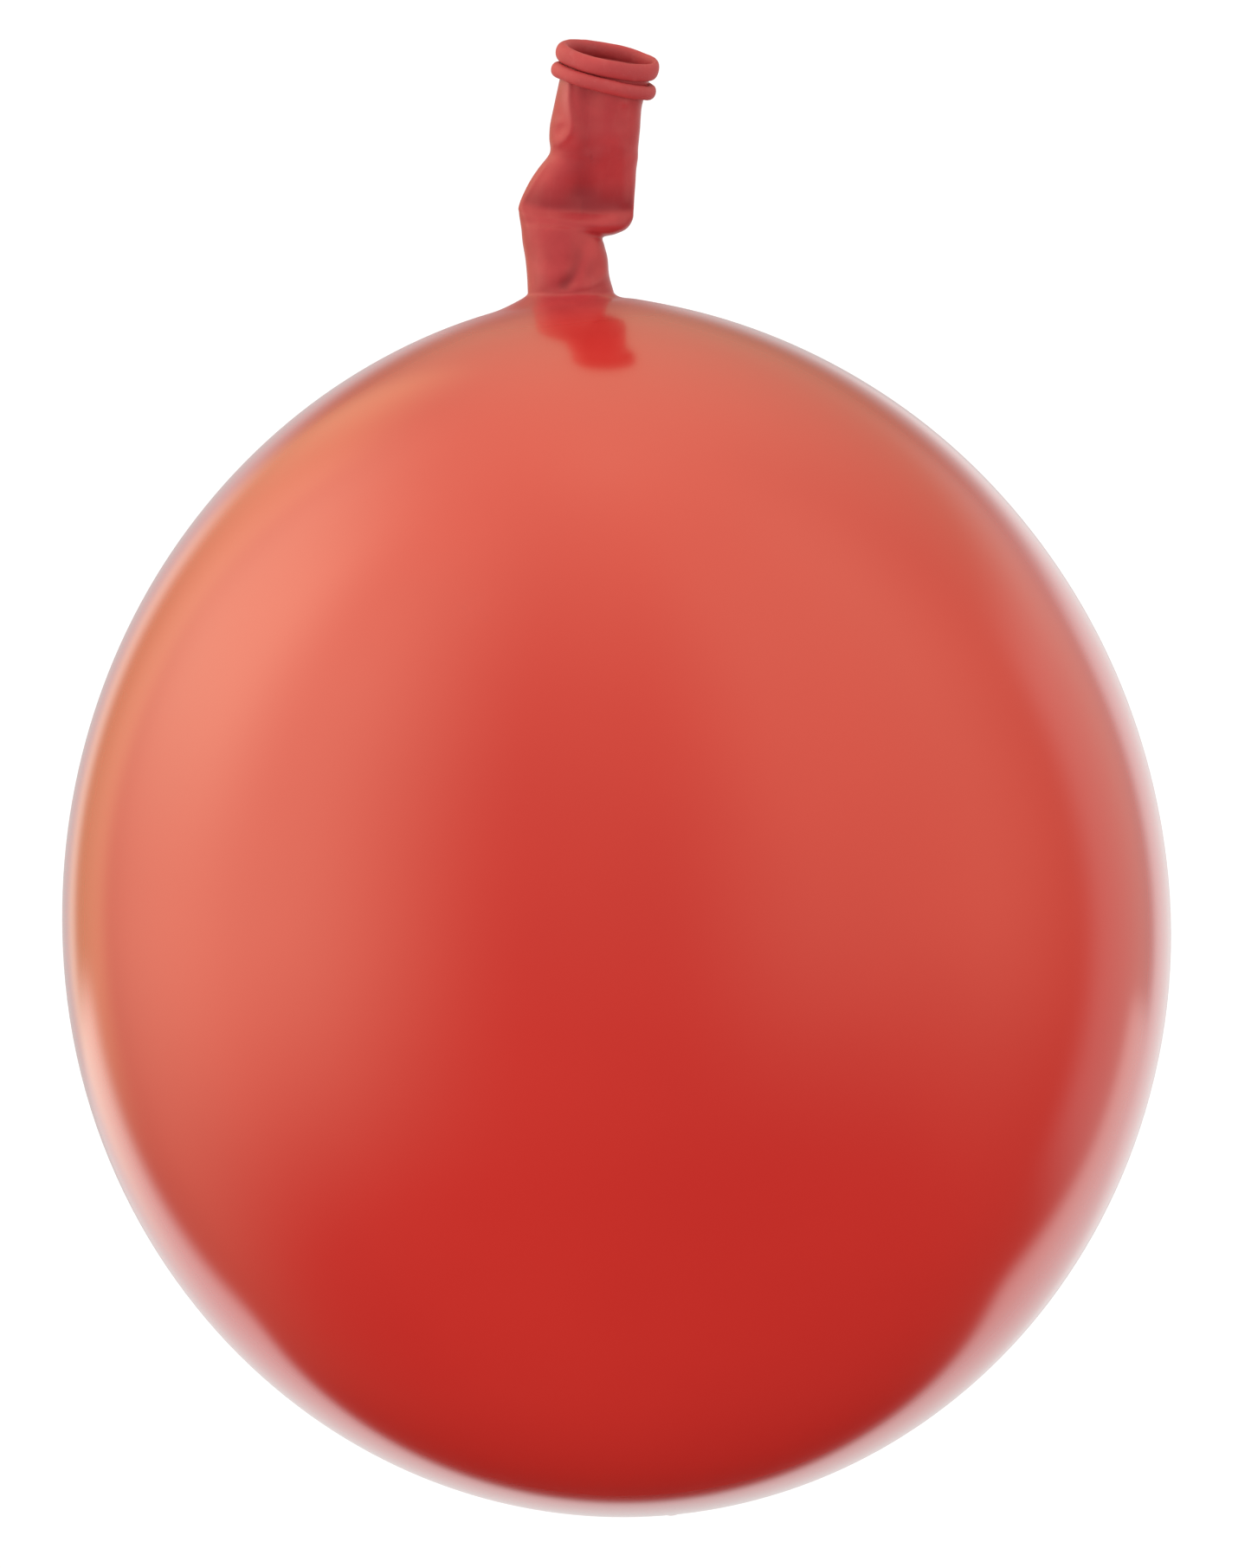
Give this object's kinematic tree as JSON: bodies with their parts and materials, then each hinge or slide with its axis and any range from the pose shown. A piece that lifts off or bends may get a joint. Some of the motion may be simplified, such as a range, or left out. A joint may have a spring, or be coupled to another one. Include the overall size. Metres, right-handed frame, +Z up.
{
  "type": "latex balloon",
  "caption": "Round red latex balloon, blown up, with a limp creased neck, rolled rings at its open mouth and an inner flap valve that holds the air.",
  "frame": {"origin": "the body's lowest point, on its own axis, under the middle of the whole part's box", "axes": "+Z up the body's axis to the neck, +X to the side the neck leans to, -Y to the side its crease folds to"},
  "size_m": [0.28, 0.28, 0.3735],
  "materials": {
    "body_latex": "gloss",
    "neck_latex": "satin",
    "bead_latex": "satin",
    "valve_latex": "satin"
  },
  "bodies": {
    "body": {"envelope": "body_latex", "valve_collar": "valve_latex"},
    "neck_root": {"neck_root": "neck_latex"},
    "neck_lower": {"neck_lower": "neck_latex"},
    "neck_upper": {"neck_upper": "neck_latex", "mouth_bead": "bead_latex", "second_bead": "bead_latex"},
    "valve_lip_front": {"valve_lip_front": "valve_latex"},
    "valve_lip_back": {"valve_lip_back": "valve_latex"}
  },
  "joints": [
    {"name": "neck_sway", "type": "hinge", "parent": "body", "child": "neck_root", "pos_m": [0.0036, 0, 0.31128], "axis": [0, 1, 0], "range_deg": [-26, 26], "stiffness_Nm_per_rad": 0.004},
    {"name": "neck_nod", "type": "hinge", "parent": "neck_root", "child": "neck_lower", "pos_m": [0.0034, 0.001, 0.31778], "axis": [0.9994, 0.0049, 0.0346], "range_deg": [-26, 26], "stiffness_Nm_per_rad": 0.004},
    {"name": "neck_fold", "type": "hinge", "parent": "neck_lower", "child": "neck_upper", "pos_m": [0.0035, 0.003, 0.32988], "axis": [0.9848, 0, -0.1736], "range_deg": [-36, 60], "stiffness_Nm_per_rad": 0.003},
    {"name": "valve_lip_front_open", "type": "hinge", "parent": "body", "child": "valve_lip_front", "pos_m": [0.0036, 0, 0.30018], "axis": [1, 0, 0], "range_deg": [-12, 0], "stiffness_Nm_per_rad": 0.0003},
    {"name": "valve_lip_back_open", "type": "hinge", "parent": "body", "child": "valve_lip_back", "pos_m": [0.0036, 0, 0.30018], "axis": [1, 0, 0], "range_deg": [0, 12], "stiffness_Nm_per_rad": 0.0003}
  ],
  "couplings": [
    {"joint": "valve_lip_back_open", "follows": "valve_lip_front_open", "ratio": -1}
  ]
}
